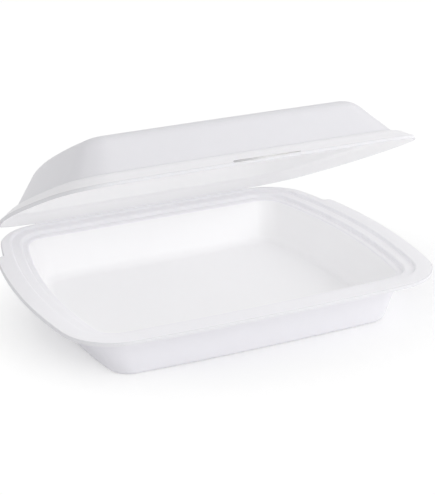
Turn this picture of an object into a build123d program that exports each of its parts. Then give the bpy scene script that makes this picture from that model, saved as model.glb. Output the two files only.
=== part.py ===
from build123d import *
import math
import os

os.makedirs("parts", exist_ok=True)

# A hinged food box moulded from one foamed sheet: a tray with a stepped rim and a domed lid,
# joined by a crease along the back. Millimetres, +X along the box, +Y towards the crease, +Z up.
# The origin is the middle of the face that the tray stands on.

# Sheet
sheet = 2.2

# Plan of the rim. The ends and the front are bowed, and the back is straight along the crease.
end_reach = 125.0
front_reach = 95.0
crease_reach = 97.0
end_bow_radius = 325.0
end_bow_centre = -10.0
front_bow_radius = 2000.0
front_corner_radius = 34.5
back_corner_radius = 33.0

# The tray's rim, which rises outwards in two steps, with its widths from the outer edge inwards
rim_height = 32.5
upper_step = 1.7
lower_step = 2.5
flange_width = 10.5
upper_ledge_width = 6.0
lower_ledge_width = 4.0
step_draft = 0.8
step_edge_radius = 0.7

# The lid's edge and the back of the flange lie in from the tray's full outline. The flange steps
# in to them at a notch in each end, and only a narrow strip of it is left along the crease.
seat_inset = 4.5
crease_strip = 1.5
notch_reach = 54.0
notch_radius = 2.0

# The tray's walls run in from the steps down to the foot, and stand steepest at the front
end_wall_run = 9.6
front_wall_run = 1.6
back_wall_run = 12.45
foot_corner_radius = 14.0
foot_edge_radius = 4.0
floor_edge_radius = 7.0

# Lid, with heights from the plane of its lower edge and widths from its outer edge inwards
lid_height = 32.0
lip_height = 1.9
skirt_width = 7.6
skirt_rise = 5.0
lid_ledge_width = 4.4
lid_ledge_rise = 1.2
lid_wall_lean = 38.0
shoulder_radius = 15.0
lid_corner_share = 0.58

# Lock slit through the front of the lid's skirt, wider at its left end
slit_length = 43.0
slit_middle = 5.0
slit_floor = 1.5
slit_wide = 2.1
slit_narrow = 0.8

# The lid's place: open by lid_angle, with a running gap to the tray along the crease and the rim
crease_gap = 0.3
seat_gap = 0.3
lid_angle = 26.4

# The back of the tray as cut along the crease, and of the rim's full outline behind it
tray_back = crease_reach - crease_gap / 2
rim_back = tray_back + flange_width - crease_strip

# The tray's steps, as insets from the full outline and heights
upper_edge = flange_width
upper_foot = upper_edge + step_draft
lower_edge = upper_foot + upper_ledge_width
lower_foot = lower_edge + step_draft
wall_edge = lower_foot + lower_ledge_width
upper_ledge = rim_height - upper_step
lower_ledge = upper_ledge - lower_step
outer_wall_edge = wall_edge - sheet


def plan(plane, end, front, back, front_radius, back_radius):
    """Bowed plan on a plane, reaching end, front and back from the middle of the box."""
    end_radius = end_bow_radius - end_reach + end
    front_bow = front_bow_radius - front_reach + front
    with BuildSketch(plane) as outline:
        with Locations((end - end_radius, end_bow_centre)):
            Circle(end_radius)
        with Locations((end_radius - end, end_bow_centre)):
            Circle(end_radius, mode=Mode.INTERSECT)
        with Locations((0, front_bow - front)):
            Circle(front_bow, mode=Mode.INTERSECT)
        with Locations((0, (back - front) / 2)):
            Rectangle(3 * end, back + front, mode=Mode.INTERSECT)
        fillet(outline.vertices().sort_by(Axis.Y)[:2], front_radius)
        fillet(outline.vertices().sort_by(Axis.Y)[-2:], back_radius)
    return outline.sketch


def rim_plan(height, inset):
    """Plan of the tray's rim at a height, drawn in by inset from its full outline."""
    return plan(
        Plane.XY.offset(height),
        end_reach - inset,
        front_reach - inset,
        rim_back - inset,
        front_corner_radius - inset,
        back_corner_radius + seat_inset - inset,
    )


def seat_plan(plane, inset, corner_inset):
    """Plan of the lid's edge and the flange's back, drawn in by inset, the corners by corner_inset."""
    return plan(
        plane,
        end_reach - seat_inset - inset,
        front_reach - seat_inset - inset,
        tray_back - inset,
        front_corner_radius - seat_inset - corner_inset,
        back_corner_radius - corner_inset,
    )


def foot_plan(height, inset):
    """Plan of the tray's foot at a height, drawn in by inset from its outside."""
    return plan(
        Plane.XY.offset(height),
        end_reach - outer_wall_edge - end_wall_run - inset,
        front_reach - outer_wall_edge - front_wall_run - inset,
        rim_back - outer_wall_edge - back_wall_run - inset,
        foot_corner_radius - inset,
        foot_corner_radius - inset,
    )


with BuildPart() as tray:
    # Outside: the bowl, the underside of each step, and the flange
    loft([foot_plan(0, 0), rim_plan(lower_ledge - sheet, outer_wall_edge)], ruled=True)
    fillet(tray.edges().group_by(Axis.Z)[0], foot_edge_radius)
    extrude(rim_plan(lower_ledge - sheet, lower_foot - sheet), sheet + lower_step)
    extrude(rim_plan(upper_ledge - sheet, upper_foot - sheet), sheet + upper_step)
    with BuildSketch(Plane.XY.offset(rim_height - sheet)):
        add(rim_plan(0, 0))
        with Locations((0, notch_reach + crease_reach)):
            Rectangle(3 * end_reach, 2 * crease_reach, mode=Mode.SUBTRACT)
        add(seat_plan(Plane.XY, 0, 0))
    extrude(amount=sheet)
    notches = tray.edges().filter_by(Axis.Z).filter_by_position(Axis.Y, notch_reach - 1, notch_reach + 1)
    fillet(notches, notch_radius)

    # Inside: the steps, then the hollow
    loft([rim_plan(upper_ledge, upper_foot), rim_plan(rim_height, upper_edge)], ruled=True, mode=Mode.SUBTRACT)
    loft([rim_plan(lower_ledge, lower_foot), rim_plan(upper_ledge, lower_edge)], ruled=True, mode=Mode.SUBTRACT)
    loft([foot_plan(sheet, sheet), rim_plan(lower_ledge, wall_edge)], ruled=True, mode=Mode.SUBTRACT)
    fillet(tray.edges().filter_by_position(Axis.Z, sheet - 0.01, sheet + 0.01), floor_edge_radius)
    for height in (lower_ledge, upper_ledge, rim_height):
        ledge = tray.faces().filter_by(Plane.XY).filter_by_position(Axis.Z, height - 0.01, height + 0.01)[0]
        fillet(ledge.inner_wires()[0].edges(), step_edge_radius)

tray.part.label = "tray"
export_step(tray.part, "parts/tray.step")

# The lid's frame: the closed lid's plan turned about the crease
crease_height = rim_height + seat_gap / 2
open_lid = Pos(0, crease_reach, crease_height) * Rot(-lid_angle, 0, 0) * Pos(0, -crease_reach, seat_gap / 2)

# The lid's section, as insets from its outer edge, heights over its lower edge, and slopes
skirt_slope = math.atan2(skirt_rise, skirt_width)
ledge_slope = math.atan2(lid_ledge_rise, lid_ledge_width)
wall_slope = math.radians(90 - lid_wall_lean)
skirt_top = lip_height + skirt_rise
ledge_edge = skirt_width + lid_ledge_width
ledge_top = skirt_top + lid_ledge_rise
top_edge = ledge_edge + (lid_height - ledge_top) / math.tan(wall_slope)
lip_inset = (sheet / math.cos(skirt_slope) - lip_height) / math.tan(skirt_slope)


def under(inset, height, outer_slope, inner_slope):
    """The corner of the sheet's underside below a corner of its outside."""
    mean = (outer_slope + inner_slope) / 2
    reach = sheet / math.cos((inner_slope - outer_slope) / 2)
    return height - reach * math.cos(mean), inset + reach * math.sin(mean)


def lid_plan(height, inset):
    """Plan of the lid at a height over its lower edge, drawn in by inset from its outer edge."""
    return seat_plan(Plane(open_lid * Pos(0, 0, height)), inset, inset * lid_corner_share)


with BuildPart() as lid:
    # Outside: lip, skirt, ledge and dome
    extrude(lid_plan(0, 0), lip_height)
    loft([lid_plan(lip_height, 0), lid_plan(skirt_top, skirt_width)], ruled=True)
    loft([lid_plan(skirt_top, skirt_width), lid_plan(ledge_top, ledge_edge)], ruled=True)
    loft([lid_plan(ledge_top, ledge_edge), lid_plan(lid_height, top_edge)], ruled=True)
    lid_up = Axis(Plane(open_lid).origin, Plane(open_lid).z_dir)
    fillet(lid.edges().group_by(lid_up)[-1], shoulder_radius)

    # Inside, one sheet below the outside
    skirt_corner = under(skirt_width, skirt_top, skirt_slope, ledge_slope)
    wall_corner = under(ledge_edge, ledge_top, ledge_slope, wall_slope)
    top_corner = under(top_edge, lid_height, wall_slope, 0)
    loft([lid_plan(0, lip_inset), lid_plan(*skirt_corner)], ruled=True, mode=Mode.SUBTRACT)
    loft([lid_plan(*skirt_corner), lid_plan(*wall_corner)], ruled=True, mode=Mode.SUBTRACT)
    loft([lid_plan(*wall_corner), lid_plan(*top_corner)], ruled=True, mode=Mode.SUBTRACT)
    inner_top = lid.faces().filter_by(Plane(open_lid)).sort_by(lid_up)[-2]
    fillet(inner_top.edges(), shoulder_radius - sheet)

    # Lock slit
    with BuildSketch(Plane(open_lid * Pos(slit_middle, seat_inset - front_reach, 0) * Rot(90, 0, 0))) as slit:
        with Locations(((slit_wide - slit_length) / 2, slit_floor + slit_wide / 2)):
            Circle(slit_wide / 2)
        with Locations(((slit_length - slit_narrow) / 2, slit_floor + slit_wide / 2)):
            Circle(slit_narrow / 2)
        make_hull()
    extrude(amount=-skirt_width, mode=Mode.SUBTRACT)

lid.part.label = "lid"
export_step(lid.part, "parts/lid.step")
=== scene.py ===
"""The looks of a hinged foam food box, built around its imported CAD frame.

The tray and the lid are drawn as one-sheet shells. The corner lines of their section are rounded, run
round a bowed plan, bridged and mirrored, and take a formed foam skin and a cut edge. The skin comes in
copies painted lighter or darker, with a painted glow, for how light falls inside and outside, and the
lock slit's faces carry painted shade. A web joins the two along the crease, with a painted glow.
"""

import logging
import math
from dataclasses import dataclass, field, replace
from enum import Enum
from itertools import pairwise
from typing import Union

import bmesh
import bpy
from mathutils import Matrix, Vector


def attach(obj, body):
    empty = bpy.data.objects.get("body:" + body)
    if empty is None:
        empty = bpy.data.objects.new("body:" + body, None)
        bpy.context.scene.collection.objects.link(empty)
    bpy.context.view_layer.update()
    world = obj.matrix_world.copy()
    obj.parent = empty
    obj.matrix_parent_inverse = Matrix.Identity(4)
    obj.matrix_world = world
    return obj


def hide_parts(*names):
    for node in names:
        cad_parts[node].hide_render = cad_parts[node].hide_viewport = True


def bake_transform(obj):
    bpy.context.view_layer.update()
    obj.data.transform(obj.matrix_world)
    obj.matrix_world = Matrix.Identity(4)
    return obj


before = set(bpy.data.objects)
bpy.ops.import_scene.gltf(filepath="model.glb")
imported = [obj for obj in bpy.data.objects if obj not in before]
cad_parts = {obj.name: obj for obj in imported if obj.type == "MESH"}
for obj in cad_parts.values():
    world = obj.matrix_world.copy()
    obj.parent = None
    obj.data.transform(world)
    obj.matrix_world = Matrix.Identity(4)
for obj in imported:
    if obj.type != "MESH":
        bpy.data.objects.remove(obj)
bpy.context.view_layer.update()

log = logging.getLogger("food_box")
MM = 0.001
RING = "ring"
WHITE = (1.0, 1.0, 1.0, 1.0)
BLACK = (0.0, 0.0, 0.0)


class Part(Enum):
    """The CAD bodies, which are also the CAD nodes."""

    TRAY = "tray"
    LID = "lid"


class Slot(Enum):
    """The record's material slots."""

    TRAY = "tray_foam"
    LID = "lid_foam"


class Surface(Enum):
    """The places of the five materials in a shell's material list: three copies of the foam skin painted
    lighter or darker for how light falls, the cut edge, and the slit edge with painted shade.
    """

    INNER = 0
    RIM = 1
    OUTER = 2
    CUT = 3
    SLIT = 4


Triple = tuple[float, float, float]
Input = Union["Wire", bpy.types.NodeSocket, float, tuple]
Owner = Union[bpy.types.Material, bpy.types.World]


class Wire:
    """A number that runs between shader nodes, with Python's operators adding its Math nodes."""

    def __init__(self, graph: "Graph", socket: bpy.types.NodeSocket) -> None:
        """Wraps an output socket.

        Args:
            graph: the node tree that the socket belongs to.
            socket: the output socket.
        """
        self.graph = graph
        self.socket = socket

    def math(self, operation: str, first: Input, second: Input = 0.0) -> "Wire":
        """Adds one Math node.

        Args:
            operation: the Math node's operation.
            first: its first value.
            second: its second value.

        Returns:
            The node's result.
        """
        made = self.graph.node("ShaderNodeMath", {"operation": operation}, {0: first, 1: second})
        return Wire(self.graph, made.outputs[0])

    def __add__(self, other: Input) -> "Wire":
        """The sum."""
        return self.math("ADD", self, other)

    def __radd__(self, other: Input) -> "Wire":
        """The sum, from the right."""
        return self.math("ADD", other, self)

    def __sub__(self, other: Input) -> "Wire":
        """The difference."""
        return self.math("SUBTRACT", self, other)

    def __rsub__(self, other: Input) -> "Wire":
        """The difference, from the right."""
        return self.math("SUBTRACT", other, self)

    def __mul__(self, other: Input) -> "Wire":
        """The product."""
        return self.math("MULTIPLY", self, other)

    def __rmul__(self, other: Input) -> "Wire":
        """The product, from the right."""
        return self.math("MULTIPLY", other, self)


class Graph:
    """The node tree of a material or a world."""

    def __init__(self, owner: Owner) -> None:
        """Empties the owner's node tree.

        Args:
            owner: the material or the world.
        """
        self.owner = owner
        self.owner.use_nodes = True
        self.tree = self.owner.node_tree
        self.tree.nodes.clear()

    def node(self, kind: str, settings: dict, inputs: dict) -> bpy.types.Node:
        """Adds a node.

        Args:
            kind: the node's type.
            settings: its own settings, which are set first.
            inputs: values or links by the socket's name or number.

        Returns:
            The new node.
        """
        made = self.tree.nodes.new(kind)
        for key, value in settings.items():
            setattr(made, key, value)
        for key, value in inputs.items():
            if isinstance(value, Wire):
                self.tree.links.new(value.socket, made.inputs[key])
            elif isinstance(value, bpy.types.NodeSocket):
                self.tree.links.new(value, made.inputs[key])
            else:
                made.inputs[key].default_value = value
        return made

    def place(
        self, stretch: Triple = (1.0, 1.0, 1.0), shift: Triple = (0.0, 0.0, 0.0)
    ) -> bpy.types.NodeSocket:
        """The point on the piece, in metres.

        Args:
            stretch: factors for the three axes, where one under 1 draws a pattern out along it.
            shift: what is added after that.

        Returns:
            The socket with the point.
        """
        point = self.node("ShaderNodeTexCoord", {}, {}).outputs["Object"]
        placed = self.node("ShaderNodeMapping", {}, {"Vector": point, "Scale": stretch, "Location": shift})
        return placed.outputs[0]

    def along(self, axis: str, start: float, stop: float) -> Wire:
        """The share of the way between two places along an axis.

        Args:
            axis: the axis's letter.
            start: the place where the share is 0, in millimetres.
            stop: the place where it is 1.

        Returns:
            The share, which stays between 0 and 1.
        """
        apart = self.node("ShaderNodeSeparateXYZ", {}, {"Vector": self.place()})
        share = self.node("ShaderNodeMapRange", {}, {0: apart.outputs[axis], 1: start * MM, 2: stop * MM})
        return Wire(self, share.outputs[0])

    def noise(self, size: float, detail: float, stretch: Triple = (1.0, 1.0, 1.0)) -> Wire:
        """Soft noise from 0 to 1.

        Args:
            size: the width of one blotch in millimetres.
            detail: how many finer layers it has.
            stretch: factors for the three axes.

        Returns:
            The noise's value.
        """
        inputs = {"Vector": self.place(stretch), "Scale": 1.0 / (size * MM), "Detail": detail}
        return Wire(self, self.node("ShaderNodeTexNoise", {}, inputs).outputs[0])

    def cells(self, size: float) -> Wire:
        """The distance to the middle of the nearest foam cell.

        Args:
            size: the width of a cell in millimetres.

        Returns:
            0 in the middle of a cell and about 0.7 between cells.
        """
        inputs = {"Vector": self.place(), "Scale": 1.0 / (size * MM)}
        return Wire(self, self.node("ShaderNodeTexVoronoi", {"feature": "F1"}, inputs).outputs["Distance"])

    def blend(self, low: Triple, high: Triple, share: Input) -> bpy.types.NodeSocket:
        """Mixes two colours.

        Args:
            low: the colour where share is 0.
            high: the colour where share is 1.
            share: the mix.

        Returns:
            The socket with the mixed colour.
        """
        inputs = {0: share, 6: (*low, 1.0), 7: (*high, 1.0)}
        return self.node("ShaderNodeMix", {"data_type": "RGBA"}, inputs).outputs[2]

    def bump(
        self, height: Input, depth: float, under: Union[bpy.types.NodeSocket, None] = None
    ) -> bpy.types.NodeSocket:
        """Raises a surface by a pattern.

        Args:
            height: the pattern.
            depth: its height in millimetres where the pattern goes from 0 to 1.
            under: the normal that it starts from.

        Returns:
            The socket with the new normal.
        """
        inputs = {"Strength": 1.0, "Distance": depth * MM, "Height": height}
        if under is not None:
            inputs["Normal"] = under
        return self.node("ShaderNodeBump", {}, inputs).outputs[0]

    def finish(self, surface: bpy.types.NodeSocket, output: str = "ShaderNodeOutputMaterial") -> Owner:
        """Ends the tree.

        Args:
            surface: the shader that the owner shows.
            output: the kind of the last node.

        Returns:
            The owner.
        """
        self.node(output, {}, {"Surface": surface})
        return self.owner


@dataclass(frozen=True)
class FoamSkin:
    """The closed, satin skin of formed foam sheet, with faint cells under it.

    The glow is painted light: an emission that stands for light let through the thin sheet from behind and
    lifts the skin where shade falls. Where fade is given, the painted glow ends between these two places
    along the Y axis. Lengths are in millimetres.
    """

    name: str
    bright: Triple = (0.857, 0.850, 0.886)
    shaded: Triple = (0.830, 0.824, 0.858)
    roughness: float = 0.37
    tone: float = 0.15
    mottle: float = 9.0
    mottle_tone: float = 0.9
    mottle_gloss: float = 0.12
    cell: float = 0.9
    cell_depth: float = 0.012
    cell_tone: float = 0.25
    cell_gloss: float = 0.06
    ripple: float = 16.0
    ripple_depth: float = 0.10
    streak: float = 2.2
    streak_depth: float = 0.012
    streak_stretch: Triple = (1.0, 1.0, 0.12)
    scatter: float = 0.35
    scatter_reach: float = 4.0
    glow: float = 0.0
    fade: Union[tuple[float, float], None] = None

    def make(self) -> bpy.types.Material:
        """Builds the material.

        Returns:
            The material.
        """
        graph = Graph(bpy.data.materials.new(self.name))
        cells = graph.cells(self.cell)
        mottle = graph.noise(self.mottle, detail=4.0)
        ripple = graph.noise(self.ripple, detail=1.0)
        streak = graph.noise(self.streak, detail=2.0, stretch=self.streak_stretch)
        tone = self.tone + mottle * self.mottle_tone - cells * self.cell_tone
        colour = graph.blend(self.shaded, self.bright, tone)
        # painted light: the colour of the painted glow, which fades to black along Y where fade is given
        painted_glow_colour = colour
        if self.fade is not None:
            painted_glow_colour = graph.blend(self.bright, BLACK, graph.along("Y", *self.fade))
        gloss = mottle * self.mottle_gloss + cells * self.cell_gloss
        normal = graph.bump(ripple, self.ripple_depth)
        normal = graph.bump(streak, self.streak_depth, normal)
        normal = graph.bump(cells, self.cell_depth, normal)
        inputs = {
            "Base Color": colour,
            "Roughness": self.roughness - self.mottle_gloss / 2 + gloss,
            "Normal": normal,
            "Emission Color": painted_glow_colour,
            "Emission Strength": self.glow,
            "IOR": 1.45,
            "Subsurface Weight": self.scatter,
            "Subsurface Radius": (1.0, 1.0, 1.0),
            "Subsurface Scale": self.scatter_reach * MM,
        }
        return graph.finish(graph.node("ShaderNodeBsdfPrincipled", {}, inputs).outputs[0])


@dataclass(frozen=True)
class CutEdge:
    """The sheared edge of the sheet, dull and open-celled, with lengths in millimetres."""

    name: str
    bright: Triple = (0.845, 0.840, 0.865)
    shaded: Triple = (0.752, 0.747, 0.770)
    roughness: float = 0.7
    cell: float = 0.55
    cell_depth: float = 0.03
    cell_tone: float = 0.4
    tear: float = 1.6
    tear_depth: float = 0.025
    tear_tone: float = 0.2
    tear_gloss: float = 0.15
    tear_stretch: Triple = (1.0, 1.0, 0.3)

    def make(self) -> bpy.types.Material:
        """Builds the material.

        Returns:
            The material.
        """
        graph = Graph(bpy.data.materials.new(self.name))
        cells = graph.cells(self.cell)
        tear = graph.noise(self.tear, detail=3.0, stretch=self.tear_stretch)
        tone = cells * self.cell_tone + tear * self.tear_tone
        inputs = {
            "Base Color": graph.blend(self.bright, self.shaded, tone),
            "Roughness": self.roughness + tear * self.tear_gloss,
            "Normal": graph.bump(cells, self.cell_depth, graph.bump(tear, self.tear_depth)),
            "IOR": 1.4,
        }
        return graph.finish(graph.node("ShaderNodeBsdfPrincipled", {}, inputs).outputs[0])


@dataclass(frozen=True)
class SlitPaintedShade:
    """The cut faces of the lock slit, with painted shade that is darkest at its wide end, where the slit is
    deepest in shade.

    Start and stop are the places along the X axis between which the painted shade fades out, in
    millimetres.
    """

    name: str
    painted_shade: Triple = (0.56, 0.555, 0.57)
    bright: Triple = (0.93, 0.93, 0.925)
    roughness: float = 0.7
    start: float = -16.0
    stop: float = 6.0
    tear: float = 1.6
    tear_depth: float = 0.03
    tear_tone: float = 0.2
    tear_gloss: float = 0.15

    def make(self) -> bpy.types.Material:
        """Builds the material.

        Returns:
            The material.
        """
        graph = Graph(bpy.data.materials.new(self.name))
        tear = graph.noise(self.tear, detail=3.0)
        # painted shade: darkest at the slit's wide end, fading towards its narrow end
        share = graph.along("X", self.start, self.stop) + (tear - 0.5) * self.tear_tone
        inputs = {
            "Base Color": graph.blend(self.painted_shade, self.bright, share),
            "Roughness": self.roughness + tear * self.tear_gloss,
            "Normal": graph.bump(tear, self.tear_depth),
            "IOR": 1.4,
        }
        return graph.finish(graph.node("ShaderNodeBsdfPrincipled", {}, inputs).outputs[0])


@dataclass(frozen=True)
class PaleFloor:
    """A white light table that shows white to the camera and keeps a soft shadow near the box.

    The shadow fades out over an oval ring round the box's foot. Foot and foot_shift turn a point into its
    distance from the foot's middle, near and far are the ring's edges in that measure, and near_share is
    the share of white inside the ring.
    """

    name: str = "studio_floor"
    grain: float = 40.0
    dull: Triple = (0.93, 0.93, 0.93)
    pale: Triple = (0.95, 0.95, 0.95)
    glow: float = 0.12
    seen_white: float = 1.02
    foot: Triple = (10.0, 12.8, 0.0)
    foot_shift: Triple = (-0.26, 0.0, 0.0)
    near: float = 1.15
    far: float = 1.8
    near_share: float = 0.05

    def make(self) -> bpy.types.Material:
        """Builds the material.

        Returns:
            The material.
        """
        graph = Graph(bpy.data.materials.new(self.name))
        colour = graph.blend(self.dull, self.pale, graph.noise(self.grain, detail=2.0))
        board = graph.node("ShaderNodeBsdfDiffuse", {}, {"Color": colour})
        table = graph.node("ShaderNodeEmission", {}, {"Color": WHITE, "Strength": self.glow})
        lit = graph.node("ShaderNodeAddShader", {}, {0: board.outputs[0], 1: table.outputs[0]})
        white = graph.node("ShaderNodeEmission", {}, {"Color": WHITE, "Strength": self.seen_white})
        point = graph.place(self.foot, self.foot_shift)
        away = graph.node("ShaderNodeVectorMath", {"operation": "LENGTH"}, {0: point})
        fade = {0: away.outputs["Value"], 1: self.near, 2: self.far, 3: self.near_share, 4: 1.0}
        share = graph.node("ShaderNodeMapRange", {}, fade)
        path = graph.node("ShaderNodeLightPath", {}, {})
        seen = Wire(graph, path.outputs["Is Camera Ray"]) * share.outputs[0]
        shown = graph.node("ShaderNodeMixShader", {}, {0: seen, 1: lit.outputs[0], 2: white.outputs[0]})
        return graph.finish(shown.outputs[0])


def add_object(bm: bmesh.types.BMesh, name: str, materials: list[bpy.types.Material]) -> bpy.types.Object:
    """Turns a finished mesh into an object of the scene.

    Args:
        bm: the mesh, in metres, which is used up.
        name: the object's name.
        materials: its finishes, in the order of its faces' numbers.

    Returns:
        The object, with its place in its mesh.
    """
    mesh = bpy.data.meshes.new(name)
    bm.to_mesh(mesh)
    bm.free()
    for material in materials:
        mesh.materials.append(material)
    piece = bpy.data.objects.new(name, mesh)
    bpy.context.scene.collection.objects.link(piece)
    return piece


def ring_edges(bm: bmesh.types.BMesh, index: int) -> list[bmesh.types.BMEdge]:
    """The edges of the drawn line with this number."""
    ring = bm.verts.layers.int[RING]
    return [e for e in bm.edges if e.verts[0][ring] == index and e.verts[1][ring] == index]


class Pen:
    """Draws a line of edges by spins and straight runs, and welds it when it is lifted."""

    def __init__(self, start: Vector) -> None:
        """Puts the pen down.

        Args:
            start: the first point, in millimetres.
        """
        self.bm = bmesh.new()
        self.tip = start.to_3d()

    def arc(self, centre: Vector, angle: float, steps: int) -> None:
        """Turns the tip about a centre.

        Args:
            centre: the arc's centre.
            angle: the angle to turn by, in radians.
            steps: the number of edges.
        """
        dot = self.bm.verts.new(self.tip)
        middle, upright = centre.to_3d(), (0.0, 0.0, 1.0)
        made = bmesh.ops.spin(self.bm, geom=[dot], cent=middle, axis=upright, angle=angle, steps=steps)
        self.tip = next(v for v in made["geom_last"] if isinstance(v, bmesh.types.BMVert)).co.copy()

    def line(self, end: Vector, steps: int) -> None:
        """Runs straight to a point.

        Args:
            end: the point.
            steps: the number of edges.
        """
        ends = [self.bm.verts.new(self.tip), self.bm.verts.new(end.to_3d())]
        edge = self.bm.edges.new(ends)
        if steps > 1:
            bmesh.ops.subdivide_edges(self.bm, edges=[edge], cuts=steps - 1)
        self.tip = end.to_3d()

    def lift(self, bm: bmesh.types.BMesh, height: float, index: int) -> None:
        """Welds and numbers what was drawn, and adds it to a mesh.

        Args:
            bm: the mesh to add it to.
            height: the height to lift it to.
            index: its number in that mesh, from 1.
        """
        ring = self.bm.verts.layers.int.new(RING)
        for vert in self.bm.verts:
            vert[ring] = index
        bmesh.ops.translate(self.bm, verts=self.bm.verts[:], vec=(0.0, 0.0, height))
        bmesh.ops.remove_doubles(self.bm, verts=self.bm.verts[:], dist=1e-3)
        drawn = bpy.data.meshes.new("drawn_line")
        self.bm.to_mesh(drawn)
        self.bm.free()
        bm.from_mesh(drawn)
        bpy.data.meshes.remove(drawn)


@dataclass(frozen=True)
class BoxSizes:
    """The sizes that the tray and the lid share, as in the part, in millimetres."""

    sheet: float = 2.2
    end_reach: float = 125.0
    front_reach: float = 95.0
    crease_reach: float = 97.0
    end_bow: float = 325.0
    bow_centre: float = -10.0
    front_bow: float = 2000.0
    front_corner: float = 34.5
    back_corner: float = 33.0
    rim_height: float = 32.5
    flange_width: float = 10.5
    seat_inset: float = 4.5
    crease_strip: float = 1.5
    notch_reach: float = 54.0
    notch_radius: float = 2.0
    crease_gap: float = 0.3
    seat_gap: float = 0.3
    lid_angle: float = 26.4

    @property
    def tray_back(self) -> float:
        """The back of the tray along the crease."""
        return self.crease_reach - self.crease_gap / 2

    @property
    def rim_back(self) -> float:
        """The back of the rim's full outline, behind the crease."""
        return self.tray_back + self.flange_width - self.crease_strip


SIZES = BoxSizes()


@dataclass(frozen=True)
class Outline:
    """Half of a bowed plan, from the middle of the front round the right end to the middle of the back.

    A flange's outline has the lid's edge as its notch, which it steps in to. Drawn_in is how far an outline
    lies in from the one that it was made from. Notch_room is the room along Y that an outline without a
    notch keeps between the notch's points and its back corner, so that they never fold back.
    """

    end: float
    front: float
    back: float
    front_radius: float
    back_radius: float
    notch: Union["Outline", None] = None
    drawn_in: float = 0.0

    notch_room: float = 8.0
    front_steps: int = 14
    corner_steps: int = 22
    fore_steps: int = 16
    notch_steps: int = 5
    aft_steps: int = 6
    back_steps: int = 12

    @property
    def bow(self) -> float:
        """The radius of the end's bow."""
        return SIZES.end_bow - SIZES.end_reach + self.end

    @property
    def bow_middle(self) -> Vector:
        """The centre of the end's bow."""
        return Vector((self.end - self.bow, SIZES.bow_centre))

    @property
    def front_bow(self) -> float:
        """The radius of the front's bow."""
        return SIZES.front_bow - SIZES.front_reach + self.front

    @property
    def front_fillet(self) -> Vector:
        """The corner between the front and the end.

        Returns:
            The centre of its arc, which touches both bows.
        """
        first, second = self.bow_middle, Vector((0.0, self.front_bow - self.front))
        near, far = self.bow - self.front_radius, self.front_bow - self.front_radius
        apart = second - first
        along = (near**2 - far**2 + apart.length_squared) / (2 * apart.length)
        aside = math.sqrt(near**2 - along**2)
        unit = apart.normalized()
        return first + unit * along + Vector((unit.y, -unit.x)) * aside

    @property
    def back_fillet(self) -> Vector:
        """The corner between the end and the back.

        Returns:
            The centre of its arc, which touches the bow and the straight back.
        """
        y = self.back - self.back_radius
        reach = self.bow - self.back_radius
        return Vector((self.bow_middle.x + math.sqrt(reach**2 - (y - SIZES.bow_centre) ** 2), y))

    def bow_angle(self, y: float, grow: float = 0.0) -> float:
        """The angle on the end's bow, or on one that is larger by grow, at a y."""
        return math.asin((y - SIZES.bow_centre) / (self.bow + grow))

    def inset_by(self, inset: float) -> "Outline":
        """The parallel outline that lies in from this one by inset."""
        return replace(
            self,
            end=self.end - inset,
            front=self.front - inset,
            back=self.back - inset,
            front_radius=self.front_radius - inset,
            back_radius=self.back_radius - inset,
            notch=self.notch and self.notch.inset_by(inset),
            drawn_in=self.drawn_in + inset,
        )

    def between(self, first: "Outline", share: float, second: "Outline", other_share: float) -> "Outline":
        """This outline, moved part of the way to two others.

        Args:
            first: one of them.
            share: how far to move to it, from 0 to 1.
            second: the other.
            other_share: how far to move to that one.

        Returns:
            The outline between the three. One with a notch keeps it, and is drawn in parallel.
        """

        def move(size: str) -> float:
            """One size of the outline between."""
            mine, one, other = (getattr(outline, size) for outline in (self, first, second))
            return mine + share * (one - mine) + other_share * (other - mine)

        if self.notch is not None:
            return self.inset_by(self.end - move("end"))
        sizes = ("end", "front", "back", "front_radius", "back_radius")
        return replace(self, **{size: move(size) for size in sizes})

    def draw(self, bm: bmesh.types.BMesh, height: float, index: int) -> None:
        """Draws the half plan, with as many edges as every other outline has.

        Args:
            bm: the mesh to draw in, in millimetres.
            height: the height to draw it at.
            index: its number in the mesh.
        """
        front_middle = Vector((0.0, self.front_bow - self.front))
        corner, hind, middle = self.front_fillet, self.back_fillet, self.bow_middle
        lead = corner - front_middle
        turn = corner - middle
        first = math.atan2(lead.y, lead.x)
        second = math.atan2(turn.y, turn.x)
        pen = Pen(Vector((0.0, -self.front)))
        pen.arc(front_middle, first + math.pi / 2, self.front_steps)
        pen.arc(corner, second - first, self.corner_steps)
        line = SIZES.notch_reach - self.drawn_in
        convex, concave = SIZES.notch_radius - self.drawn_in, SIZES.notch_radius + self.drawn_in
        last = math.atan2(hind.y - middle.y, hind.x - middle.x)
        if self.notch is None:
            line = min(line, middle.y + self.bow * math.sin(last) - self.notch_room)
        into = self.bow_angle(line - convex, -convex)
        pen.arc(middle, into - second, self.fore_steps)
        if self.notch is None:
            out_of = self.bow_angle(line + concave)
            pen.arc(middle, out_of - into, 2 * self.notch_steps + 1)
        else:
            out_of = self.notch.bow_angle(line + concave, concave)
            outer = middle + Vector((math.cos(into), math.sin(into))) * (self.bow - convex)
            inner = middle + Vector((math.cos(out_of), math.sin(out_of))) * (self.notch.bow + concave)
            pen.arc(outer, math.pi / 2 - into, self.notch_steps)
            pen.line(Vector((inner.x, line)), 1)
            pen.arc(inner, out_of - math.pi / 2, self.notch_steps)
            hind = self.notch.back_fillet
            last = math.atan2(hind.y - middle.y, hind.x - middle.x)
        rest = self.notch or self
        pen.arc(middle, last - out_of, self.aft_steps)
        pen.arc(hind, math.pi / 2 - last, self.corner_steps)
        pen.line(Vector((0.0, rest.back)), self.back_steps)
        pen.lift(bm, height, index)


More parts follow.
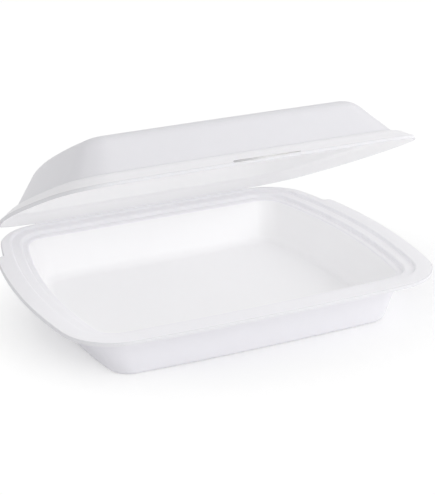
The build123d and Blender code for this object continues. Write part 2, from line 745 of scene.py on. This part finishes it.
def rim_outline(inset: float) -> Outline:
    """The plan of the tray's rim, drawn in by inset from its full outline."""
    return Outline(
        SIZES.end_reach - inset,
        SIZES.front_reach - inset,
        SIZES.rim_back - inset,
        SIZES.front_corner - inset,
        SIZES.back_corner + SIZES.seat_inset - inset,
    )


def seat_outline(inset: float, corner_inset: float) -> Outline:
    """The plan of the lid's edge, drawn in by inset, and at its corners by corner_inset."""
    return Outline(
        SIZES.end_reach - SIZES.seat_inset - inset,
        SIZES.front_reach - SIZES.seat_inset - inset,
        SIZES.tray_back - inset,
        SIZES.front_corner - SIZES.seat_inset - corner_inset,
        SIZES.back_corner - corner_inset,
    )


def flange_outline() -> Outline:
    """The flange's outer edge, which steps in to the lid's edge at the notches."""
    return replace(rim_outline(0.0), notch=seat_outline(0.0, 0.0))


@dataclass(frozen=True)
class Ring:
    """One corner line of a shell's section, rounded by an arc of this radius."""

    outline: Outline
    height: float
    rounding: float = 0.0
    segments: int = 4

    @property
    def point(self) -> Vector:
        """Its place in the section through the box's end."""
        return Vector((self.outline.end, self.height))

    def rounded(self, before: "Ring", after: "Ring") -> list["Ring"]:
        """The lines of its rounding.

        Args:
            before: the corner line before it.
            after: the corner line after it.

        Returns:
            Lines along an arc that touches the sheet's face on both sides, or itself if it is sharp.
        """
        if not self.rounding:
            return [self]
        back, ahead = before.point - self.point, after.point - self.point
        half_turn = (math.pi - back.angle(ahead)) / 2
        setback = self.rounding * math.tan(half_turn)
        made = []
        for step in range(self.segments + 1):
            along = step / self.segments
            weight = (1 - along) ** 2 + 2 * along * (1 - along) * math.cos(half_turn) + along**2
            share = (1 - along) ** 2 * setback / back.length / weight
            other = along**2 * setback / ahead.length / weight
            height = self.height + share * back.y + other * ahead.y
            made.append(Ring(self.outline.between(before.outline, share, after.outline, other), height))
        return made


@dataclass
class Shell:
    """A closed shell of formed sheet, from the middle of its inside over the rim to that of its outside.

    Each ring has a band of material after it, the cut edge or one of the skin copies painted lighter or
    darker for the light, and the last one's covers the middle of the outside. Cap_reach is the distance, in
    radii, of the line that the first and the last rounding are bent towards. Edges that fold by more than
    sharp_from degrees stay sharp.
    """

    name: str
    rings: list[Ring]
    bands: list[Surface]
    place: Matrix = field(default_factory=Matrix)
    cap_reach: float = 2.5
    sharp_from: float = 35.0

    def lines(self) -> list[tuple[Ring, Surface]]:
        """Rounds the section's corner lines.

        Returns:
            Every line of the rounded section, with the finish of the band that follows it.
        """
        first, last = self.rings[0], self.rings[-1]
        reach = self.cap_reach * first.rounding, self.cap_reach * last.rounding
        inner = Ring(first.outline.inset_by(reach[0]), first.height)
        outer = Ring(last.outline.inset_by(reach[1]), last.height)
        padded = [inner, *self.rings, outer]
        made = []
        for index, (ring, band) in enumerate(zip(self.rings, self.bands)):
            arc = ring.rounded(padded[index], padded[index + 2])
            corner = max(self.bands[max(index - 1, 0)], band, key=lambda finish: finish.value)
            made += [(line, corner) for line in arc[:-1]] + [(arc[-1], band)]
        return made

    def mesh(self) -> bmesh.types.BMesh:
        """Builds the shell in its own frame, in millimetres.

        Returns:
            The mesh.
        """
        bm = bmesh.new()
        lines = self.lines()
        for index, (line, _) in enumerate(lines, start=1):
            line.outline.draw(bm, line.height, index)
        chains = [ring_edges(bm, index) for index in range(1, len(lines) + 1)]
        for (_, finish), (lower, upper) in zip(lines, pairwise(chains)):
            made = bmesh.ops.bridge_loops(bm, edges=lower + upper)
            for face in made["faces"]:
                face.material_index = finish.value
        bmesh.ops.mirror(bm, geom=bm.verts[:] + bm.edges[:] + bm.faces[:], merge_dist=1e-4, axis="X")
        for index, finish in ((1, self.bands[0]), (len(lines), self.bands[-1])):
            cap = bmesh.ops.contextual_create(bm, geom=ring_edges(bm, index))
            cap["faces"][0].material_index = finish.value
        bmesh.ops.recalc_face_normals(bm, faces=bm.faces[:])
        for face in bm.faces:
            face.smooth = True
        for edge in bm.edges:
            edge.smooth = edge.calc_face_angle(0.0) < math.radians(self.sharp_from)
        return bm

    def make(self, materials: list[bpy.types.Material]) -> bpy.types.Object:
        """Builds the shell's object.

        Args:
            materials: the finishes, in the order of Surface.

        Returns:
            The object, with its place in its mesh.
        """
        bm = self.mesh()
        bmesh.ops.transform(bm, matrix=Matrix.Scale(MM, 4) @ self.place, verts=bm.verts[:])
        return add_object(bm, self.name, materials)


def even_normals(piece: bpy.types.Object) -> None:
    """Lets the large faces of a shell set its shading, so that flat stays flat.

    Args:
        piece: the shell.
    """
    weighted = piece.modifiers.new("even_normals", "WEIGHTED_NORMAL")
    weighted.mode = "FACE_AREA"
    weighted.keep_sharp = True


@dataclass
class Tray:
    """The tray: bowl, two steps up to a flat flange, and the flange's notches.

    The under_roundings are those of the steps' underside, from the flange down to the wall.
    """

    upper_step: float = 1.7
    lower_step: float = 2.5
    upper_ledge: float = 6.0
    lower_ledge: float = 4.0
    draft: float = 0.8
    end_run: float = 9.6
    front_run: float = 1.6
    back_run: float = 12.45
    foot_corner: float = 14.0
    foot_rounding: float = 4.0
    floor_rounding: float = 7.0
    wall_rounding: float = 1.3
    low_foot_rounding: float = 0.9
    low_edge_rounding: float = 1.2
    high_foot_rounding: float = 0.8
    high_edge_rounding: float = 1.1
    flange_rounding: float = 0.6
    under_roundings: tuple[float, float, float, float] = (0.7, 0.5, 0.8, 1.0)

    def foot(self, outer_wall: float, inset: float) -> Outline:
        """The foot's plan.

        Args:
            outer_wall: the inset of the outer wall's top from the rim's full outline.
            inset: how far the plan is drawn in from the foot's outside.

        Returns:
            The outline.
        """
        return Outline(
            SIZES.end_reach - outer_wall - self.end_run - inset,
            SIZES.front_reach - outer_wall - self.front_run - inset,
            SIZES.rim_back - outer_wall - self.back_run - inset,
            self.foot_corner - inset,
            self.foot_corner - inset,
        )

    def rings(self) -> list[Ring]:
        """Lays out the section.

        Returns:
            Its corner lines, from the floor inside over the rim to the foot.
        """
        sheet, top = SIZES.sheet, SIZES.rim_height
        high_edge = SIZES.flange_width
        high_foot = high_edge + self.draft
        low_edge = high_foot + self.upper_ledge
        low_foot = low_edge + self.draft
        wall = low_foot + self.lower_ledge
        outer_wall = wall - sheet
        high, low = top - self.upper_step, top - self.upper_step - self.lower_step
        under_flange, under_high, under_low, under_wall = self.under_roundings
        return [
            Ring(self.foot(outer_wall, sheet), sheet, self.floor_rounding, 10),
            Ring(rim_outline(wall), low, self.wall_rounding, 6),
            Ring(rim_outline(low_foot), low, self.low_foot_rounding, 4),
            Ring(rim_outline(low_edge), high, self.low_edge_rounding, 5),
            Ring(rim_outline(high_foot), high, self.high_foot_rounding, 4),
            Ring(rim_outline(high_edge), top, self.high_edge_rounding, 5),
            Ring(flange_outline(), top, self.flange_rounding, 5),
            Ring(flange_outline(), top - sheet),
            Ring(rim_outline(high_foot - sheet), top - sheet),
            Ring(rim_outline(high_foot - sheet), high - sheet, under_flange, 4),
            Ring(rim_outline(low_foot - sheet), high - sheet, under_high, 3),
            Ring(rim_outline(low_foot - sheet), low - sheet, under_low, 4),
            Ring(rim_outline(outer_wall), low - sheet, under_wall, 4),
            Ring(self.foot(outer_wall, 0.0), 0.0, self.foot_rounding, 8),
        ]

    def build(self, materials: list[bpy.types.Material]) -> bpy.types.Object:
        """Builds and dresses the tray.

        Args:
            materials: the finishes, in the order of Surface.

        Returns:
            The tray's piece.
        """
        # Painted light: the inside takes the inner skin, painted brightest with glow, and the rim's steps
        # take the rim skin, painted lighter with glow.
        bands = [Surface.INNER] + 5 * [Surface.RIM] + [Surface.CUT] + 7 * [Surface.OUTER]
        piece = Shell("TrayShell", self.rings(), bands).make(materials)
        even_normals(piece)
        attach(piece, Part.TRAY.value)
        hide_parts(Part.TRAY.value)
        return piece


@dataclass
class Lid:
    """The lid: lip, skirt, ledge and dome, with the lock slit in the front of the skirt.

    The lip_roundings go from its inside round its cut edge. The skirt's and the ledge's are those under and
    over the sheet. The slit rises by slit_rise from its wide end to its narrow one, and leans down by
    slit_dip for each millimetre inwards. Its cutter starts slit_beyond in front of the skirt.
    """

    height: float = 32.0
    lip: float = 1.9
    skirt_width: float = 7.6
    skirt_rise: float = 5.0
    ledge_width: float = 4.4
    ledge_rise: float = 1.2
    wall_lean: float = 38.0
    shoulder: float = 15.0
    corner_share: float = 0.58
    slit_length: float = 43.0
    slit_middle: float = 5.0
    slit_floor: float = 0.9
    slit_rise: float = 1.4
    slit_wide: float = 3.3
    slit_narrow: float = 1.0
    slit_dip: float = 0.5
    slit_beyond: float = 1.0
    lip_roundings: Triple = (0.5, 0.25, 0.9)
    skirt_roundings: tuple[float, float] = (4.0, 6.0)
    ledge_roundings: tuple[float, float] = (2.2, 2.6)

    @property
    def place(self) -> Matrix:
        """The lid's frame.

        Returns:
            The matrix that turns the closed lid's plan about the crease.
        """
        hinge = Matrix.Translation((0.0, SIZES.crease_reach, SIZES.rim_height + SIZES.seat_gap / 2))
        open_by = Matrix.Rotation(-math.radians(SIZES.lid_angle), 4, "X")
        return hinge @ open_by @ Matrix.Translation((0.0, -SIZES.crease_reach, SIZES.seat_gap / 2))

    def outline(self, inset: float) -> Outline:
        """The lid's plan, drawn in by inset from its outer edge."""
        return seat_outline(inset, inset * self.corner_share)

    def rings(self) -> list[Ring]:
        """Lays out the section.

        Returns:
            Its corner lines, from the top inside over the lip to the top outside.
        """
        sheet = SIZES.sheet
        skirt_slope = math.atan2(self.skirt_rise, self.skirt_width)
        ledge_slope = math.atan2(self.ledge_rise, self.ledge_width)
        wall_slope = math.radians(90.0 - self.wall_lean)
        skirt_top = self.lip + self.skirt_rise
        ledge_edge = self.skirt_width + self.ledge_width
        ledge_top = skirt_top + self.ledge_rise
        top_edge = ledge_edge + (self.height - ledge_top) / math.tan(wall_slope)
        lip_inset = (sheet / math.cos(skirt_slope) - self.lip) / math.tan(skirt_slope)

        def under(inset: float, height: float, outer: float, inner: float) -> tuple[float, float]:
            """Finds the corner of the underside below a corner of the outside.

            Args:
                inset: the corner's inset from the lid's edge.
                height: its height over the lid's edge.
                outer: the slope of the sheet outwards of it.
                inner: the slope of the sheet inwards of it.

            Returns:
                The underside's inset and height.
            """
            mean = (outer + inner) / 2
            reach = sheet / math.cos((inner - outer) / 2)
            return inset + reach * math.sin(mean), height - reach * math.cos(mean)

        skirt_in, skirt_low = under(self.skirt_width, skirt_top, skirt_slope, ledge_slope)
        wall_in, wall_low = under(ledge_edge, ledge_top, ledge_slope, wall_slope)
        top_in, top_low = under(top_edge, self.height, wall_slope, 0.0)
        lip_inside, lip_low, lip_high = self.lip_roundings
        skirt_under, skirt_over = self.skirt_roundings
        ledge_under, ledge_over = self.ledge_roundings
        return [
            Ring(self.outline(top_in), top_low, self.shoulder - sheet, 12),
            Ring(self.outline(wall_in), wall_low, ledge_under, 5),
            Ring(self.outline(skirt_in), skirt_low, skirt_under, 4),
            Ring(self.outline(lip_inset), 0.0, lip_inside, 2),
            Ring(self.outline(0.0), 0.0, lip_low, 2),
            Ring(self.outline(0.0), self.lip, lip_high, 4),
            Ring(self.outline(self.skirt_width), skirt_top, skirt_over, 4),
            Ring(self.outline(ledge_edge), ledge_top, ledge_over, 5),
            Ring(self.outline(top_edge), self.height, self.shoulder, 14),
        ]

    def slit_cutter(self) -> bpy.types.Object:
        """The lock slit's shape, a tapering slot through the skirt that dips inwards.

        Returns:
            A closed object in the lid's place, which isn't part of the box.
        """
        bm = bmesh.new()
        wide, narrow = self.slit_wide / 2, self.slit_narrow / 2
        start, stop = self.slit_middle - self.slit_length / 2, self.slit_middle + self.slit_length / 2
        left = Vector((start + wide, self.slit_floor + wide))
        right = Vector((stop - narrow, self.slit_floor + self.slit_rise + narrow))
        lean = math.acos((wide - narrow) / (right - left).length)
        tilt = math.atan2(right.y - left.y, right.x - left.x)
        upper = Vector((math.cos(tilt + lean), math.sin(tilt + lean)))
        lower = Vector((math.cos(tilt - lean), math.sin(tilt - lean)))
        pen = Pen(left + upper * wide)
        pen.arc(left, 2 * math.pi - 2 * lean, 16)
        pen.line(right + lower * narrow, 1)
        pen.arc(right, 2 * lean, 8)
        pen.line(left + upper * wide, 1)
        pen.lift(bm, 0.0, 1)
        made = bmesh.ops.contextual_create(bm, geom=bm.edges[:])
        solid = bmesh.ops.extrude_face_region(bm, geom=made["faces"])
        outside = [v for v in solid["geom"] if isinstance(v, bmesh.types.BMVert)]
        reach = self.skirt_width + self.slit_beyond
        bmesh.ops.translate(bm, verts=bm.verts[:], vec=(0.0, -self.skirt_width * self.slit_dip, 0.0))
        bmesh.ops.translate(bm, verts=outside, vec=(0.0, reach * self.slit_dip, reach))
        bmesh.ops.recalc_face_normals(bm, faces=bm.faces[:])
        for face in bm.faces:
            # The slit's faces take the material with painted shade.
            face.material_index = Surface.SLIT.value
        front = Matrix.Translation((0.0, SIZES.seat_inset - SIZES.front_reach + self.skirt_width, 0.0))
        upright = Matrix.Rotation(math.pi / 2, 4, "X")
        whole = Matrix.Scale(MM, 4) @ self.place @ front @ upright
        bmesh.ops.transform(bm, matrix=whole, verts=bm.verts[:])
        return add_object(bm, "SlitCutter", [])

    def cut_slit(self, piece: bpy.types.Object) -> None:
        """Cuts the lock slit and keeps the result as the piece's mesh.

        Args:
            piece: the lid's shell.
        """
        cutter = self.slit_cutter()
        cut = piece.modifiers.new("lock_slit", "BOOLEAN")
        cut.operation = "DIFFERENCE"
        cut.solver = "EXACT"
        cut.object = cutter
        bpy.context.view_layer.update()
        shaped = bpy.data.meshes.new_from_object(piece.evaluated_get(bpy.context.evaluated_depsgraph_get()))
        piece.modifiers.remove(cut)
        piece.data = shaped
        bpy.data.objects.remove(cutter)

    def build(self, materials: list[bpy.types.Material]) -> bpy.types.Object:
        """Builds and dresses the lid.

        Args:
            materials: the finishes, in the order of Surface.

        Returns:
            The lid's piece.
        """
        # Painted light: the underside takes the inner skin, painted brightest with glow, and the skirt and
        # ledge outside take the rim skin, painted lighter than the dome's outer skin.
        bands = 3 * [Surface.INNER] + 2 * [Surface.CUT] + 2 * [Surface.RIM] + 2 * [Surface.OUTER]
        piece = Shell("LidShell", self.rings(), bands, self.place).make(materials)
        self.cut_slit(piece)
        even_normals(piece)
        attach(piece, Part.LID.value)
        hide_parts(Part.LID.value)
        return piece


@dataclass
class Crease:
    """The web of pressed sheet that joins the tray and the lid along the back. Its skin glows with painted
    light, so that the fold's shade doesn't show as a dark line.
    """

    radius: float = 0.7
    flat: float = 0.75
    round_steps: int = 16
    length_steps: int = 60

    def build(self, skin: bpy.types.Material) -> bpy.types.Object:
        """Builds the web, turned about the crease by half the lid's opening.

        Args:
            skin: the foam skin, with its painted glow.

        Returns:
            The web's piece.
        """
        half = seat_outline(0.0, 0.0).back_fillet.x
        pivot = Vector((0.0, SIZES.crease_reach, SIZES.rim_height + SIZES.seat_gap / 2))
        bm = bmesh.new()
        bmesh.ops.create_circle(bm, cap_ends=True, radius=self.radius, segments=self.round_steps)
        bmesh.ops.scale(bm, vec=(self.flat, 1.0, 1.0), verts=bm.verts[:])
        for _ in range(self.length_steps):
            cap = max(bm.faces, key=lambda f: f.calc_center_median().z)
            longer = bmesh.ops.extrude_face_region(bm, geom=[cap])
            bmesh.ops.delete(bm, geom=[cap], context="FACES_ONLY")
            moved = [v for v in longer["geom"] if isinstance(v, bmesh.types.BMVert)]
            bmesh.ops.translate(bm, verts=moved, vec=(0.0, 0.0, 2 * half / self.length_steps))
        bmesh.ops.translate(bm, verts=bm.verts[:], vec=(0.0, 0.0, -half))
        bmesh.ops.recalc_face_normals(bm, faces=bm.faces[:])
        for face in bm.faces:
            face.smooth = len(face.verts) == 4
        lean = Matrix.Rotation(-math.radians(SIZES.lid_angle) / 2, 4, "X")
        along = Matrix.Rotation(math.pi / 2, 4, "Y")
        whole = Matrix.Scale(MM, 4) @ Matrix.Translation(pivot) @ lean @ along
        bmesh.ops.transform(bm, matrix=whole, verts=bm.verts[:])
        piece = add_object(bm, "CreaseWeb", [skin])
        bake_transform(piece)
        return piece


@dataclass(frozen=True)
class Softbox:
    """A square area light that faces a point over the box, in metres, degrees and watts."""

    name: str
    azimuth: float
    elevation: float
    distance: float
    width: float
    power: float

    def build(self, aim: Vector) -> None:
        """Adds the light.

        Args:
            aim: the point that it faces, in metres.
        """
        turn, rise = math.radians(self.azimuth), math.radians(self.elevation)
        out = Vector((math.sin(turn) * math.cos(rise), -math.cos(turn) * math.cos(rise), math.sin(rise)))
        data = bpy.data.lights.new(self.name, "AREA")
        data.shape = "SQUARE"
        data.size = self.width
        data.energy = self.power
        lamp = bpy.data.objects.new(self.name, data)
        lamp.location = aim + out * self.distance
        lamp.rotation_euler = (-out).to_track_quat("-Z", "Y").to_euler()
        bpy.context.scene.collection.objects.link(lamp)


@dataclass
class Studio:
    """The floor, the light and the camera, as in the photograph."""

    azimuth: float = 25.83
    elevation: float = 22.33
    distance: float = 1.00297
    focal_pixels: float = 1522.82
    long_side: int = 495
    sensor: float = 36.0
    target: Triple = (0.02988, 0.0470, 0.0150)
    floor_reach: float = 6.0
    lamps_aim: Triple = (0.0, 0.0, 0.04)
    ambient: float = 0.63
    lamps: tuple[Softbox, ...] = (
        Softbox("key", 55.0, 36.0, 1.3, 0.8, 2.5),
        Softbox("side", 50.0, 19.0, 1.3, 0.6, 1.4),
        Softbox("front", 20.0, 22.0, 1.3, 0.6, 2.7),
        Softbox("left", -60.0, 14.0, 1.3, 0.6, 0.2),
        Softbox("top", 30.0, 70.0, 1.3, 0.6, 0.3),
        Softbox("back", -142.0, 50.0, 1.3, 0.2, 0.6),
    )

    def floor(self) -> None:
        """Adds the floor that the box stands on."""
        bm = bmesh.new()
        bmesh.ops.create_grid(bm, x_segments=4, y_segments=4, size=self.floor_reach)
        piece = add_object(bm, "Floor", [PaleFloor().make()])

    def sky(self) -> None:
        """Sets an even light from all round, which shows white behind the box."""
        graph = Graph(bpy.data.worlds.new("studio_sky"))
        path = graph.node("ShaderNodeLightPath", {}, {})
        even, white = (
            graph.node("ShaderNodeBackground", {}, {"Color": WHITE, "Strength": strength}).outputs[0]
            for strength in (self.ambient, 1.0)
        )
        shown = graph.node("ShaderNodeMixShader", {}, {0: path.outputs["Is Camera Ray"], 1: even, 2: white})
        bpy.context.scene.world = graph.finish(shown.outputs[0], "ShaderNodeOutputWorld")

    def camera(self) -> None:
        """Adds the camera at the photograph's place."""
        turn, rise = math.radians(self.azimuth), math.radians(self.elevation)
        ahead = Vector((math.sin(turn) * math.cos(rise), math.cos(turn) * math.cos(rise), -math.sin(rise)))
        data = bpy.data.cameras.new("Camera")
        data.sensor_width = self.sensor
        data.lens = self.focal_pixels / self.long_side * self.sensor
        data.clip_start, data.clip_end = 0.05, 50.0
        eye = bpy.data.objects.new("Camera", data)
        eye.location = Vector(self.target) - ahead * self.distance
        eye.rotation_euler = ahead.to_track_quat("-Z", "Y").to_euler()
        bpy.context.scene.collection.objects.link(eye)
        bpy.context.scene.camera = eye

    def build(self) -> None:
        """Builds the whole set."""
        self.floor()
        self.sky()
        self.camera()
        for lamp in self.lamps:
            lamp.build(Vector(self.lamps_aim))
        bpy.context.scene.view_settings.view_transform = "Standard"


def main() -> None:
    """Builds the box and its studio."""
    logging.basicConfig(level=logging.INFO, format="%(message)s")
    finishes = [
        # Painted light: the inner, rim and outer skins are one foam in lit and shaded copies. The inner
        # copy is painted brightest and the rim copy lighter than the outer one, and both glow, to lift the
        # shade inside the tray, on its rim and under the lid.
        FoamSkin("foam_inner_skin_painted_light", (0.949, 0.946, 0.955), (0.932, 0.929, 0.938), glow=0.078).make(),
        FoamSkin("foam_rim_skin_painted_light", (0.907, 0.901, 0.926), (0.880, 0.874, 0.899), glow=0.06).make(),
        FoamSkin("foam_outer_skin").make(),
        CutEdge("foam_cut_edge").make(),
        SlitPaintedShade("foam_slit_edge_painted_shade").make(),
    ]
    pieces = [
        Tray().build(finishes),
        Lid().build(finishes),
        # Painted light: the crease's skin glows, fading out across the web from its front to its back, so
        # that the fold's shade doesn't turn black.
        Crease().build(FoamSkin("foam_crease_skin_painted_glow", glow=0.28, fade=(96.6, 97.2)).make()),
    ]
    for piece in pieces:
        log.info("%s: %d faces", piece.name, len(piece.data.polygons))
    Studio().build()


if __name__ == "__main__":
    main()
